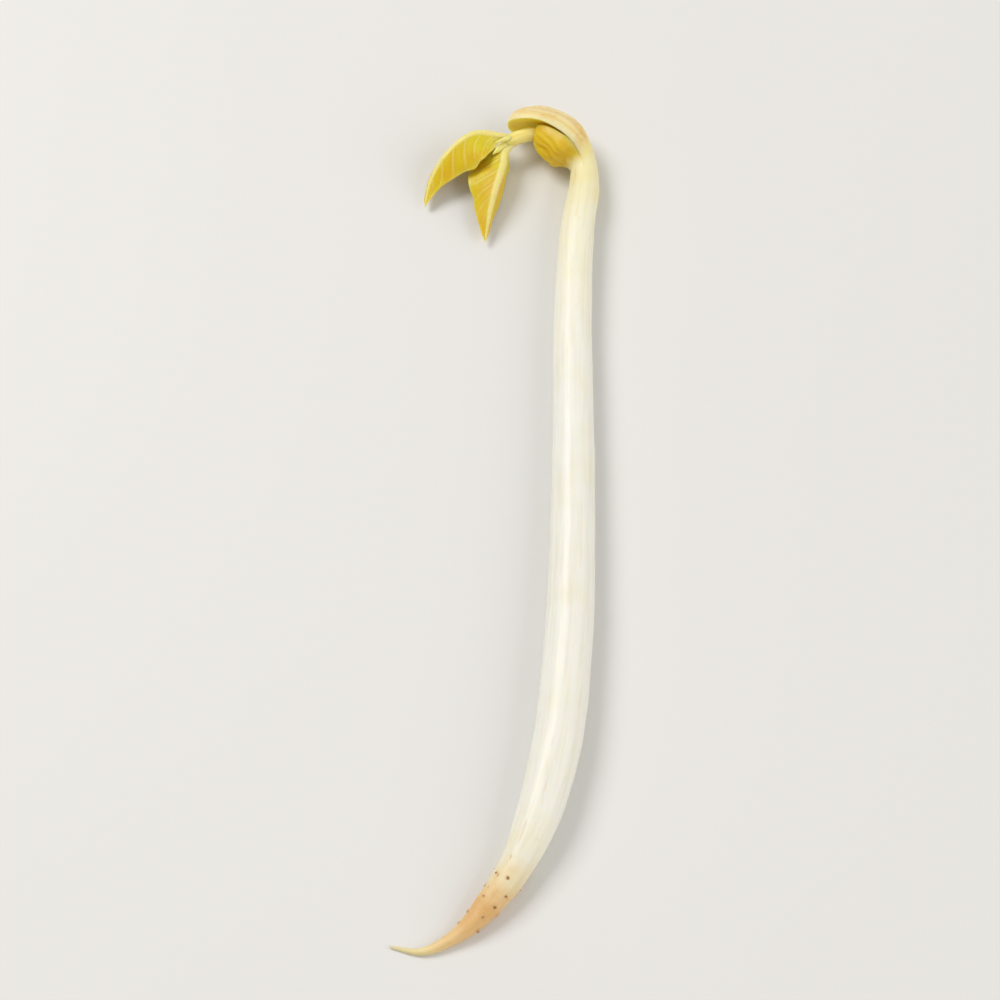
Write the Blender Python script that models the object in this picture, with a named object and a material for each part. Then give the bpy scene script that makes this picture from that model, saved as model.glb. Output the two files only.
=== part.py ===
"""Mung bean sprout, as picked: a white stem with its bent neck, a tan tap root with a thread-like tail,
two shrivelled bean halves, and a short stalk with two folded yellow leaves.
It lies on its side on a flat surface, head towards +Y, with the neck bent towards -X.
Lengths in the lists below are in millimetres. The scene is in metres, +Z up."""

import math

import bmesh
import bpy
import numpy as np
from mathutils import Vector

MM = 0.001

# ---- driving dimensions, in mm -----------------------------------------------------------------------
STEM_LENGTH = 47.0  # collar to the bean halves, measured along Y
STEM_RADIUS = 1.45  # at the fullest place, a quarter of the way up from the collar
ROOT_RADIUS = 1.0  # at the collar, where the stem passes into the root
BEAN_HEIGHT = 3.3  # across a bean half
BEAN_THICKNESS = 1.6  # of a bean half, from its rim to the top of its back
BLADE = 0.6  # thickness of a leaf blade
FOLD = 0.3  # how far the bend over a leaf's midrib reaches on each side
SEAM = 0.12  # clearance where two pieces meet
PRESS = 0.08  # how far the soft stem flattens where it rests

# ---- the stem and root, as one run from the root's tail to the neck ------------------------------------
# Each knot is across (X), along (Y, as a share of the stem's length), lift off the surface, and radius as a
# share of the stem's fullest radius.
ROOT_KNOTS = [
    (-10.6, -0.537, 0.00, 0.11),
    (-8.9, -0.543, 0.00, 0.16),
    (-7.0, -0.526, 0.00, 0.29),
    (-5.1, -0.489, 0.02, 0.52),
]
STEM_KNOTS = [
    (-3.4, -0.437, 0.10, ROOT_RADIUS / STEM_RADIUS),
    (-2.3, -0.383, 0.08, 0.88),
    (-1.2, -0.296, 0.02, 0.99),
    (-0.4, -0.160, 0.00, 1.00),
    (0.0, 0.010, 0.00, 0.93),
    (0.1, 0.185, 0.00, 0.86),
    (0.2, 0.345, 0.08, 0.80),
    (0.6, 0.468, 0.25, 0.73),
    (1.0, 0.527, 0.40, 0.65),
    (0.9, 0.560, 0.60, 0.54),
    (0.4, 0.578, 0.80, 0.40),
]
RING_SPACING = 0.85
NECK_SPACING = 0.4

# ---- the shoot between the bean halves: x, y, z, radius -------------------------------------------------
STALK_KNOTS = [
    (0.7, 26.5, 1.45, 0.40),
    (-0.5, 27.2, 1.55, 0.42),
    (-1.9, 27.7, 1.7, 0.44),
    (-3.0, 27.7, 1.8, 0.46),
    (-3.9, 27.45, 1.8, 0.46),
]

# ---- the line between the two bean halves, foot to tip: x, y, z ------------------------------------------
BEAN_KNOTS = [
    (1.1, 25.3, 1.35),
    (0.6, 26.45, 1.5),
    (-0.6, 27.6, 1.7),
    (-2.1, 28.4, 1.75),
    (-3.9, 28.7, 1.7),
]


def clear_scene():
    for obj in list(bpy.data.objects):
        bpy.data.objects.remove(obj)


def collection(name):
    made = bpy.data.collections.new(name)
    bpy.context.scene.collection.children.link(made)
    return made


def material(name, colour, roughness, subsurface):
    made = bpy.data.materials.new(name)
    made.use_nodes = True
    made.diffuse_color = (*colour, 1)
    shader = made.node_tree.nodes["Principled BSDF"]
    shader.inputs["Base Color"].default_value = (*colour, 1)
    shader.inputs["Roughness"].default_value = roughness
    shader.inputs["Metallic"].default_value = 0
    shader.inputs["Subsurface Weight"].default_value = subsurface
    shader.inputs["Subsurface Radius"].default_value = (1.2 * MM, 0.9 * MM, 0.5 * MM)
    return made


def smooth_spans(knots, spacings):
    """One list of points for each span of a smooth curve through the knots, which may hold a radius after
    x, y and z. Slopes follow the distance between knots, so uneven spacing makes no bulge."""
    knots = [np.array(knot, float) for knot in knots]
    steps = [float(np.linalg.norm((b - a)[:3])) for a, b in zip(knots, knots[1:])]
    slopes = [(knots[1] - knots[0]) / steps[0]]
    for i in range(1, len(knots) - 1):
        before = (knots[i] - knots[i - 1]) / steps[i - 1]
        after = (knots[i + 1] - knots[i]) / steps[i]
        slopes.append((before * steps[i] + after * steps[i - 1]) / (steps[i - 1] + steps[i]))
    slopes.append((knots[-1] - knots[-2]) / steps[-1])
    spans = []
    for i, (length, spacing) in enumerate(zip(steps, spacings)):
        count = max(2, round(length / spacing))
        span = []
        for k in range(count + 1):
            t = k / count
            span.append(
                knots[i] * (1 + 2 * t) * (1 - t) ** 2
                + slopes[i] * length * t * (1 - t) ** 2
                + knots[i + 1] * t * t * (3 - 2 * t)
                - slopes[i + 1] * length * t * t * (1 - t)
            )
        spans.append(span)
    return spans


def chained(spans):
    """The spans as one run, with each shared knot once."""
    return spans[0] + [point for span in spans[1:] for point in span[1:]]


def pulled_back(run, distance):
    """The run with its first point moved along it by a short distance."""
    ahead = run[1] - run[0]
    share = distance / float(np.linalg.norm(ahead[:3]))
    return [run[0] + ahead * share, *run[1:]]


def domed(run):
    """The run with its last end closed by a half-round dome of the same radius."""
    end = run[-1]
    ahead = (end - run[-2])[:3]
    ahead /= np.linalg.norm(ahead)
    dome = []
    for degrees in (25, 48, 68, 84):
        turn = math.radians(degrees)
        centre = end[:3] + ahead * end[3] * math.sin(turn)
        dome.append(np.array([*centre, end[3] * math.cos(turn)]))
    return run + dome


def mesh_object(name, mesh, group, finish=None):
    made = bpy.data.objects.new(name, mesh)
    group.objects.link(made)
    if finish:
        mesh.materials.append(finish)
    return made


def tube(name, run, bevel_resolution, group, finish=None, grown=0.0):
    """A round rod through the run's points, each with its own radius, as a closed mesh."""
    curve = bpy.data.curves.new(name + "_line", "CURVE")
    curve.dimensions = "3D"
    curve.twist_mode = "Z_UP"
    curve.bevel_depth = MM
    curve.bevel_resolution = bevel_resolution
    curve.use_fill_caps = True
    line = curve.splines.new("POLY")
    line.points.add(len(run) - 1)
    for point, place in zip(line.points, run):
        point.co = (*(place[:3] * MM), 1)
        point.radius = place[3] + grown
    guide = bpy.data.objects.new(name + "_line", curve)
    group.objects.link(guide)
    graph = bpy.context.evaluated_depsgraph_get()
    mesh = bpy.data.meshes.new_from_object(guide.evaluated_get(graph))
    bpy.data.objects.remove(guide)
    bpy.data.curves.remove(curve)
    shape = bmesh.new()
    shape.from_mesh(mesh)
    bmesh.ops.remove_doubles(shape, verts=shape.verts, dist=0.001 * MM)
    bmesh.ops.recalc_face_normals(shape, faces=shape.faces)
    shape.to_mesh(mesh)
    shape.free()
    mesh.materials.clear()
    mesh.shade_smooth()
    mesh.set_sharp_from_angle(angle=math.radians(50))
    return mesh_object(name, mesh, group, finish)


def rest_on_surface(piece):
    """Flattens what would reach below the surface, as a soft stem does under its own weight."""
    for vertex in piece.data.vertices:
        vertex.co.z = max(vertex.co.z, 0.0)


def keep_off(piece, cutter, solver="EXACT"):
    """Cuts the piece back to a snug seam round the neighbour that the cutter was grown from."""
    cut = piece.modifiers.new("seam_" + cutter.name, "BOOLEAN")
    cut.operation = "DIFFERENCE"
    cut.solver = solver
    cut.object = cutter


def place_on(run, share, evened=1):
    """The point at this share of a run, and the direction there, evened over some points each way."""
    last = len(run) - 1
    at = min(max(share, 0.0), 1.0) * last
    i = min(int(at), last - 1)
    point = run[i] + (run[i + 1] - run[i]) * (at - i)
    here, beyond = (
        run[min(k + evened, last)] - run[max(k - evened, 0)] for k in (i, i + 1)
    )
    ahead = Vector((here + (beyond - here) * (at - i))[:3]).normalized()
    return Vector(point[:3]), ahead


# ---- bean halves ---------------------------------------------------------------------------------------


def bean_half(name, side, reach, height, lean, group, finish):
    """A shrivelled seed leaf on one side of the line between the two: convex and grooved outside, hollow
    inside, narrow at the foot. side is 1 for the outside of the bend and -1 for the inside. reach is its
    share of the line, and lean is how far its top tips away from the line, in degrees, or over it where
    that is below 0."""
    run = chained(smooth_spans(BEAN_KNOTS, [0.4] * (len(BEAN_KNOTS) - 1)))
    run = run[: 1 + round(reach * (len(run) - 1))]
    tilt = math.radians(lean)
    shape = bmesh.new()
    bmesh.ops.create_uvsphere(shape, u_segments=28, v_segments=20, radius=1)
    for vertex in shape.verts:
        unit = vertex.co.copy()
        ring = math.hypot(unit.x, unit.y)
        share = 0.5 - 0.5 * unit.z
        up, out = (unit.x / ring, unit.y / ring) if ring > 1e-6 else (0.0, 0.0)
        centre, ahead = place_on(run, share)
        level = ahead.cross(Vector((0, 0, 1))).normalized() * side
        crest = level.cross(ahead).normalized() * side
        high = crest * math.cos(tilt) + level * math.sin(tilt)
        outward = level * math.cos(tilt) - crest * math.sin(tilt)
        foot = min(1.0, 0.8 + 0.6 * share)
        rise = up * ring**0.6 * foot * height / 2
        if out > 0:
            grooves = 1 + 0.05 * math.cos(9 * math.atan2(out, up))
            depth = ring**0.6 * foot * out * BEAN_THICKNESS * grooves
        else:
            depth = ring * min(1.0, 2.5 * share) * 0.21 * (1 - up * up) * BEAN_THICKNESS
        vertex.co = (centre + high * rise + outward * (depth + SEAM / 2)) * MM
    bmesh.ops.recalc_face_normals(shape, faces=shape.faces)
    mesh = bpy.data.meshes.new(name)
    shape.to_mesh(mesh)
    shape.free()
    mesh.shade_smooth()
    made = mesh_object(name, mesh, group, finish)
    rest_on_surface(made)
    return made


# ---- leaves --------------------------------------------------------------------------------------------


def half_width(share, fullest):
    """Midrib to margin along a young leaf, as a share of its width: a narrow foot, fullest at the given
    share, and a drawn-out tip."""
    rounding = math.log(0.5) / math.log(fullest)
    body = math.sin(math.pi * share**rounding) ** 1.1 if 0 < share < 1 else 0.0
    return 0.86 * body + 0.08 * (1 - share) + 0.08


def folded(reach, left_slope, right_slope):
    """Across and down from the midrib at a signed distance along a blade that bends over it, and the angle
    at which the blade falls there. The bend is an arc, as long as FOLD on each side."""
    middle = (right_slope - left_slope) / 2
    bend = (right_slope + left_slope) / (2 * FOLD)
    bent = min(max(reach, -FOLD), FOLD)
    angle = middle + bend * bent
    across = (math.sin(angle) - math.sin(middle)) / bend + (reach - bent) * math.cos(angle)
    down = (math.cos(middle) - math.cos(angle)) / bend + (reach - bent) * math.sin(angle)
    return across, down, angle


def leaf(name, knots, left_slope, right_slope, fullest, width, group, finish):
    """A leaf folded along its midrib like a tent, with rounded margins. The slopes say how steeply each half
    falls from the midrib, seen from the foot towards the tip, and width is that of one half. A half that
    would reach the surface is narrower."""
    run = chained(smooth_spans(knots, [0.4] * (len(knots) - 1)))
    slopes = math.radians(left_slope), math.radians(right_slope)
    shape = bmesh.new()
    bmesh.ops.create_uvsphere(shape, u_segments=20, v_segments=22, radius=1)
    for vertex in shape.verts:
        unit = vertex.co.copy()
        ring = math.hypot(unit.x, unit.y)
        share = 0.5 - 0.5 * unit.z
        side, over = (unit.x / ring, unit.y / ring) if ring > 1e-6 else (0.0, 0.0)
        centre, ahead = place_on(run, share, 3)
        right = ahead.cross(Vector((0, 0, 1))).normalized()
        crest = right.cross(ahead).normalized()
        room = (centre.z - 0.6 * BLADE) / math.sin(slopes[1] if side > 0 else slopes[0])
        reach = side * min(width * half_width(share, fullest), room)
        across, down, angle = folded(reach, *slopes)
        thick = math.copysign(abs(over) ** 0.6, over) * ring**0.5 * BLADE / 2
        place = centre + right * (across + math.sin(angle) * thick) + crest * (math.cos(angle) * thick - down)
        vertex.co = place * MM
    mesh = bpy.data.meshes.new(name)
    shape.to_mesh(mesh)
    shape.free()
    mesh.shade_smooth()
    return mesh_object(name, mesh, group, finish)


def centre_on_origin(pieces, cutters):
    """Moves everything together so that the middle of the sprout's footprint is at the origin."""
    graph = bpy.context.evaluated_depsgraph_get()
    corners = [Vector(corner) for piece in pieces for corner in piece.evaluated_get(graph).bound_box]
    for made in [*pieces, *cutters]:
        made.location.x = -(min(c.x for c in corners) + max(c.x for c in corners)) / 2
        made.location.y = -(min(c.y for c in corners) + max(c.y for c in corners)) / 2


def build():
    clear_scene()
    sprout = collection("mung_bean_sprout")
    cutters = collection("cutters")
    cutters.hide_render = True

    white = material("stem_white", (0.90, 0.88, 0.76), 0.32, 0.35)
    tan = material("root_tan", (0.72, 0.50, 0.28), 0.5, 0.15)
    bean = material("bean_half_tan", (0.80, 0.62, 0.27), 0.42, 0.25)
    shoot = material("shoot_pale_yellow", (0.86, 0.80, 0.32), 0.38, 0.25)
    yellow = material("leaf_yellow", (0.83, 0.74, 0.06), 0.4, 0.2)

    knots = []
    for across, along, lift, girth in ROOT_KNOTS + STEM_KNOTS:
        radius = girth * STEM_RADIUS
        knots.append((across, along * STEM_LENGTH, lift + radius - PRESS, radius))
    spacings = [RING_SPACING] * (len(knots) - 1)
    spacings[:3] = [0.5] * 3
    spacings[-4:] = [NECK_SPACING] * 4
    spans = smooth_spans(knots, spacings)
    root_run = chained(spans[: len(ROOT_KNOTS)])[::-1]
    stem_run = chained(spans[len(ROOT_KNOTS) :])

    stem = tube("stem", domed(pulled_back(stem_run, SEAM / 2)), 8, sprout, white)
    rest_on_surface(stem)
    root = tube("tap_root", domed(pulled_back(root_run, SEAM / 2)), 5, sprout, tan)
    rest_on_surface(root)

    stalk_run = chained(smooth_spans(STALK_KNOTS, [0.4] * (len(STALK_KNOTS) - 1)))
    stalk = tube("epicotyl", domed(stalk_run), 4, sprout, shoot)
    round_stem = tube("round_stem", domed(stem_run), 8, cutters, grown=SEAM)
    round_stalk = tube("round_stalk", domed(stalk_run), 4, cutters, grown=SEAM)
    for cutter in (round_stem, round_stalk):
        cutter.display_type = "WIRE"
        cutter.hide_render = True
    keep_off(stalk, round_stem)

    outer = bean_half("cotyledon_outer", 1, 1.0, BEAN_HEIGHT, -8, sprout, bean)
    inner = bean_half("cotyledon_inner", -1, 0.74, 0.93 * BEAN_HEIGHT, 8, sprout, bean)
    for half in (outer, inner):
        keep_off(half, round_stem)
        keep_off(half, round_stalk)

    left = leaf(
        "leaf_left",
        [(-4.3, 27.65, 2.1), (-6.0, 27.6, 2.5), (-7.8, 26.4, 2.0), (-8.85, 24.8, 1.15), (-9.2, 23.5, 0.5)],
        left_slope=12, right_slope=78, fullest=0.38, width=1.9, group=sprout, finish=yellow,
    )
    lower = leaf(
        "leaf_lower",
        [(-4.1, 26.85, 1.7), (-4.25, 25.5, 1.85), (-4.75, 23.8, 1.65), (-5.15, 22.2, 1.1), (-5.4, 20.9, 0.5)],
        left_slope=82, right_slope=24, fullest=0.28, width=2.1, group=sprout, finish=yellow,
    )
    for blade in (left, lower):
        keep_off(blade, round_stalk, "MANIFOLD")
    centre_on_origin(sprout.objects, cutters.objects)


build()
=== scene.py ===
"""A mung bean sprout as picked, lying on its side: white stem with a bent neck, tan tap root, two shrivelled
bean halves, and a short stalk with a bud and two folded yellow leaves."""

import math

import bmesh
import bpy
import numpy as np
from mathutils import Matrix, Vector, noise


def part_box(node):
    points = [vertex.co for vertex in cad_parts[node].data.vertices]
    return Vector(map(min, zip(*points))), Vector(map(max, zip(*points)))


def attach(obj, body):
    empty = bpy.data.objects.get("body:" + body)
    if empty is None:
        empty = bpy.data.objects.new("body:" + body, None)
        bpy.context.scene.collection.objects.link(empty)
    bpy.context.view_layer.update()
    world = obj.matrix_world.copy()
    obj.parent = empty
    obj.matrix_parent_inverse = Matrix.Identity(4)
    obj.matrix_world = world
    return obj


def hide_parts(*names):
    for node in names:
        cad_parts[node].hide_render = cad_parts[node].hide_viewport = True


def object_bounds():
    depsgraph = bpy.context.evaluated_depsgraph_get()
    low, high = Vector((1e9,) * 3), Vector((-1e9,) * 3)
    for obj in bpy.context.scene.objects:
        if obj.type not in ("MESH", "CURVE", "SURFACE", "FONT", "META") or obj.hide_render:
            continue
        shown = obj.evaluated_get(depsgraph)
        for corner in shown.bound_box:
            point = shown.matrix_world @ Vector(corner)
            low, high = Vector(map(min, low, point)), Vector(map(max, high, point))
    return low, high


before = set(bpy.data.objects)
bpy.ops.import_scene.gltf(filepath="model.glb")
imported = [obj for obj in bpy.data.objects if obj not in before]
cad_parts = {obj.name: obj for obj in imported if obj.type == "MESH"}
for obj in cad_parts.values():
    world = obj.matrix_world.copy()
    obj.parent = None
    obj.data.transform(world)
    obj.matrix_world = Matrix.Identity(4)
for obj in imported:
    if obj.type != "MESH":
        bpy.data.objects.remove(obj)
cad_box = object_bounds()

MM = 0.001


# ---- stem ----------------------------------------------------------------------------------------------
# The hypocotyl: a juicy white rod, fullest near the collar, slimmer and yellower towards its bent neck.
# A thin skin over long fibres gives it a faint lengthwise grain. It grew as one piece with the root, so the
# two skins are drawn along one run and pass into each other at the collar.

STEM_LENGTH = 47.0  # mm, collar to the bean halves
STEM_RADIUS = 1.45  # mm, at its fullest
ROOT_RADIUS = 1.0  # mm, at the collar
PRESS = 0.08  # mm, how far the soft stem flattens where it rests

# across in mm, along as a share of the stem's length, lift in mm, radius as a share of the fullest
ROOT_KNOTS = [
    (-10.6, -0.537, 0.00, 0.11),
    (-8.9, -0.543, 0.00, 0.16),
    (-7.0, -0.526, 0.00, 0.29),
    (-5.1, -0.489, 0.02, 0.52),
]
STEM_KNOTS = [
    (-3.4, -0.437, 0.10, ROOT_RADIUS / STEM_RADIUS),
    (-2.3, -0.383, 0.08, 0.88),
    (-1.2, -0.296, 0.02, 0.99),
    (-0.4, -0.160, 0.00, 1.00),
    (0.0, 0.010, 0.00, 0.93),
    (0.1, 0.185, 0.00, 0.86),
    (0.2, 0.345, 0.08, 0.80),
    (0.6, 0.468, 0.25, 0.73),
    (1.0, 0.527, 0.40, 0.65),
    (0.9, 0.560, 0.60, 0.54),
    (0.4, 0.578, 0.80, 0.40),
]
RUN_SPACING = 0.12  # mm, between the points of a run
PASSAGE = 1.3  # mm, how far root and stem run on inside each other
ROOT_TO_STEM = (-3.0, 1.5)  # mm from the collar, over which the root's wrinkles and bloom give way
JOINING = (43.0, 45.6)  # mm from the collar, over which the neck's skin becomes that of the bean halves


def smooth_run(knots, spacing=RUN_SPACING):
    """Points of a smooth curve through the knots, in mm, and the index at which each knot falls."""
    knots = [np.array(knot, float) for knot in knots]
    steps = [float(np.linalg.norm((b - a)[:3])) for a, b in zip(knots, knots[1:])]
    slopes = [(knots[1] - knots[0]) / steps[0]]
    for i in range(1, len(knots) - 1):
        before = (knots[i] - knots[i - 1]) / steps[i - 1]
        after = (knots[i + 1] - knots[i]) / steps[i]
        slopes.append((before * steps[i] + after * steps[i - 1]) / (steps[i - 1] + steps[i]))
    slopes.append((knots[-1] - knots[-2]) / steps[-1])
    run, places = [knots[0]], [0]
    for i, length in enumerate(steps):
        count = max(2, round(length / spacing))
        for k in range(1, count + 1):
            t = k / count
            run.append(
                knots[i] * (1 + 2 * t) * (1 - t) ** 2
                + slopes[i] * length * t * (1 - t) ** 2
                + knots[i + 1] * t * t * (3 - 2 * t)
                - slopes[i + 1] * length * t * t * (1 - t)
            )
        places.append(len(run) - 1)
    return run, places


def run_length(run):
    return sum(float(np.linalg.norm((b - a)[:3])) for a, b in zip(run, run[1:]))


def taper_in(run, reach):
    """The run with its first stretch drawn in to a rounded end, which lies hidden inside the next piece."""
    travelled = 0.0
    drawn = []
    for i, point in enumerate(run):
        if i:
            travelled += float(np.linalg.norm((point - run[i - 1])[:3]))
        point = point.copy()
        short = 1 - travelled / reach
        if short > 0:
            point[3] *= math.sqrt(max(0.0, 1 - short * short)) * 0.96 + 0.04
            point[3] *= 1 - 0.25 * short * short
        drawn.append(point)
    return drawn


def domed(run):
    """The run with its last end closed by a half-round dome of the same radius."""
    end = run[-1]
    ahead = (end - run[-2])[:3]
    ahead = ahead / np.linalg.norm(ahead)
    dome = []
    for degrees in (15, 30, 45, 58, 70, 80, 87):
        turn = math.radians(degrees)
        centre = end[:3] + ahead * end[3] * math.sin(turn)
        dome.append(np.array([*centre, end[3] * math.cos(turn)]))
    return run + dome


def fill(tree, node, inputs):
    """Gives a node its inputs, each of them a value or the socket that it is linked from."""
    for key, value in inputs.items():
        if isinstance(value, bpy.types.NodeSocket):
            tree.links.new(value, node.inputs[key])
        else:
            node.inputs[key].default_value = value


def add(tree, kind, inputs=None, **settings):
    """A new node with its settings and inputs."""
    made = tree.nodes.new(kind)
    for name, value in settings.items():
        setattr(made, name, value)
    fill(tree, made, inputs or {})
    return made


def calc(tree, operation, *values, kind="ShaderNodeMath", output=0, **settings):
    made = add(tree, kind, dict(enumerate(values)), operation=operation, **settings)
    return made.outputs[output]


def vector_calc(tree, operation, *values):
    return calc(tree, operation, *values, kind="ShaderNodeVectorMath")


def part_way(tree, value, low, high):
    """0 at low, 1 at high, smoothly between."""
    made = add(
        tree, "ShaderNodeMapRange",
        {"Value": value, "From Min": low, "From Max": high}, interpolation_type="SMOOTHSTEP",
    )
    return made.outputs[0]


def fading(tree, value, low, high):
    """1 at low, 0 at high, smoothly between."""
    return calc(tree, "SUBTRACT", 1.0, part_way(tree, value, low, high))


def scaled(tree, vector, factor):
    made = add(tree, "ShaderNodeVectorMath", {0: vector, "Scale": factor}, operation="SCALE")
    return made.outputs[0]


def height_of(tree, vector):
    return add(tree, "ShaderNodeSeparateXYZ", {0: vector}).outputs["Z"]


def cloudy(tree, place, scale, detail, output="Fac"):
    """Noise over a place, as a number or, for output Color, as three."""
    inputs = {"Vector": place, "Scale": scale, "Detail": detail}
    return add(tree, "ShaderNodeTexNoise", inputs).outputs[output]


def grain(tree, straight, squeeze, scale, detail):
    """Noise over a straightened piece, drawn out along it where squeeze is below 1."""
    return cloudy(tree, vector_calc(tree, "MULTIPLY", straight, (1, 1, squeeze)), scale, detail)


def growing_tree(name, inputs, output):
    """A new tree for a modifier, with its inputs by name and kind, and the sockets that hold them."""
    tree = bpy.data.node_groups.new(name, "GeometryNodeTree")
    tree.is_modifier = True
    for label, kind in inputs.items():
        tree.interface.new_socket(label, in_out="INPUT", socket_type="NodeSocket" + kind)
    tree.interface.new_socket(output, in_out="OUTPUT", socket_type="NodeSocketGeometry")
    return tree, add(tree, "NodeGroupInput").outputs


def skin_tree():
    """Grows a closed skin round a run of points with radii, with fibres, swellings, wrinkles towards the root
    and a rested underside. It leaves "straight", the place as it would be if the run were straight, in mm."""
    tree, given = growing_tree("skin_round_a_run", {
        "Run": "Geometry", "Ring spacing": "Float", "Sides": "Int", "Start": "Float", "Sense": "Float",
        "Fibre height": "Float", "Swelling height": "Float", "Wrinkle height": "Float", "Finish": "Material",
    }, "Skin")

    def keep(geometry, name, value, kind="FLOAT"):
        stored = add(
            tree, "GeometryNodeStoreNamedAttribute",
            {"Geometry": geometry, "Name": name, "Value": value}, data_type=kind, domain="POINT",
        )
        return stored.outputs[0]

    def kept(name, kind="FLOAT"):
        return add(tree, "GeometryNodeInputNamedAttribute", {"Name": name}, data_type=kind).outputs[0]

    run = add(
        tree, "GeometryNodeResampleCurve",
        {"Curve": given["Run"], "Length": given["Ring spacing"]}, mode="LENGTH",
    ).outputs[0]
    travelled = add(tree, "GeometryNodeSplineParameter").outputs["Length"]
    girth = add(tree, "GeometryNodeInputRadius").outputs[0]
    tangent = add(tree, "GeometryNodeInputTangent").outputs[0]
    place = add(tree, "GeometryNodeInputPosition").outputs[0]
    run = keep(run, "along", calc(tree, "MULTIPLY_ADD", travelled, given["Sense"], given["Start"]))
    run = keep(run, "girth", girth)
    run = keep(run, "middle", place, "FLOAT_VECTOR")
    run = keep(run, "ahead", scaled(tree, tangent, given["Sense"]), "FLOAT_VECTOR")
    circle = add(tree, "GeometryNodeCurvePrimitiveCircle", {"Resolution": given["Sides"], "Radius": 1.0})
    skin = add(
        tree, "GeometryNodeCurveToMesh",
        {"Curve": run, "Profile Curve": circle.outputs[0], "Scale": girth, "Fill Caps": True},
    ).outputs[0]

    ahead = kept("ahead", "FLOAT_VECTOR")
    spoke = vector_calc(tree, "SUBTRACT", place, kept("middle", "FLOAT_VECTOR"))
    level = vector_calc(tree, "NORMALIZE", vector_calc(tree, "CROSS_PRODUCT", ahead, (0, 0, 1)))
    crest = vector_calc(tree, "CROSS_PRODUCT", level, ahead)
    sideways, upwards = (
        calc(tree, "DOT_PRODUCT", spoke, way, kind="ShaderNodeVectorMath", output=1) for way in (level, crest)
    )
    in_metres = add(
        tree, "ShaderNodeCombineXYZ", {"X": sideways, "Y": upwards, "Z": kept("along")}
    ).outputs[0]
    skin = keep(skin, "straight", scaled(tree, in_metres, 1000.0), "FLOAT_VECTOR")

    straight = kept("straight", "FLOAT_VECTOR")

    def waves(squeeze, scale, detail):
        return calc(tree, "SUBTRACT", grain(tree, straight, squeeze, scale, detail), 0.5)

    rooty = fading(tree, height_of(tree, straight), *ROOT_TO_STEM)
    heights = [
        calc(tree, "MULTIPLY", waves(0.06, 3.2, 2.0), given["Fibre height"]),
        calc(tree, "MULTIPLY", waves(1.0, 0.33, 1.0), given["Swelling height"]),
        calc(tree, "MULTIPLY", calc(tree, "MULTIPLY", waves(0.22, 2.6, 3.0), rooty), given["Wrinkle height"]),
    ]
    rise = calc(tree, "ADD", calc(tree, "ADD", heights[0], heights[1]), heights[2])
    full = calc(tree, "MINIMUM", calc(tree, "DIVIDE", kept("girth"), STEM_RADIUS * MM), 1.0)
    normal = add(tree, "GeometryNodeInputNormal").outputs[0]
    offset = scaled(tree, normal, calc(tree, "MULTIPLY", rise, full))
    skin = add(tree, "GeometryNodeSetPosition", {"Geometry": skin, "Offset": offset}).outputs[0]
    rested = vector_calc(tree, "MAXIMUM", place, (-1, -1, 0))
    skin = add(tree, "GeometryNodeSetPosition", {"Geometry": skin, "Position": rested}).outputs[0]
    skin = add(tree, "GeometryNodeSetShadeSmooth", {"Geometry": skin}).outputs[0]
    skin = add(tree, "GeometryNodeRealizeInstances", {0: skin}).outputs[0]
    skin = add(tree, "GeometryNodeSetMaterial", {"Geometry": skin, "Material": given["Finish"]}).outputs[0]
    add(tree, "NodeGroupOutput", {0: skin})
    return tree


def plain_mesh(name, maker):
    """The evaluated shape of an object as a plain mesh object at the origin; the maker is removed."""
    graph = bpy.context.evaluated_depsgraph_get()
    mesh = bpy.data.meshes.new_from_object(maker.evaluated_get(graph))
    bpy.data.objects.remove(maker)
    mesh.name = name
    made = bpy.data.objects.new(name, mesh)
    bpy.context.scene.collection.objects.link(made)
    return made


def set_inputs(modifier, inputs):
    """Sets a node modifier's inputs by name, with _ for a space."""
    for socket in modifier.node_group.interface.items_tree:
        value = inputs.get(socket.name.lower().replace(" ", "_"))
        if value is not None:
            modifier[socket.identifier] = value


def skinned(name, run, tree, **inputs):
    """The skin round a run in mm, as a plain mesh. Inputs are the tree's, by name, with _ for a space."""
    curve = bpy.data.curves.new(name, "CURVE")
    curve.dimensions = "3D"
    curve.twist_mode = "Z_UP"
    line = curve.splines.new("POLY")
    line.points.add(len(run) - 1)
    for point, place in zip(line.points, run):
        point.co = (*(place[:3] * MM), 1)
        point.radius = place[3] * MM
    maker = bpy.data.objects.new(name, curve)
    bpy.context.scene.collection.objects.link(maker)
    skin = maker.modifiers.new("skin", "NODES")
    skin.node_group = tree
    set_inputs(skin, inputs)
    made = plain_mesh(name, maker)
    bpy.data.curves.remove(curve)
    return made


def colour_ramp(tree, factor, stops):
    """A blend of linear colours; each stop is a place from 0 to 1 and a colour."""
    ramp = add(tree, "ShaderNodeValToRGB", {0: factor})
    points = ramp.color_ramp.elements
    while len(points) < len(stops):
        points.new(0.5)
    for point, (where, colour) in zip(points, stops):
        point.position = where
        point.color = (*colour, 1)
    return ramp.outputs[0]


def blend_colour(tree, kind, factor, below, above):
    """Two colours mixed; each is a colour or a socket."""
    below, above = (
        colour if isinstance(colour, bpy.types.NodeSocket) else (*colour, 1) for colour in (below, above)
    )
    made = add(tree, "ShaderNodeMix", {0: factor, 6: below, 7: above}, data_type="RGBA", blend_type=kind)
    return made.outputs[2]


def new_finish(name):
    made = bpy.data.materials.new(name)
    made.use_nodes = True
    return made, made.node_tree, made.node_tree.nodes["Principled BSDF"]


def attribute(tree, name, output="Fac"):
    return add(tree, "ShaderNodeAttribute", attribute_name=name).outputs[output]


def relief(tree, height, strength, depth):
    """The normal of relief that is too fine for the mesh; depth is in mm."""
    return add(
        tree, "ShaderNodeBump", {"Strength": strength, "Distance": depth * MM, "Height": height}
    ).outputs[0]


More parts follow.
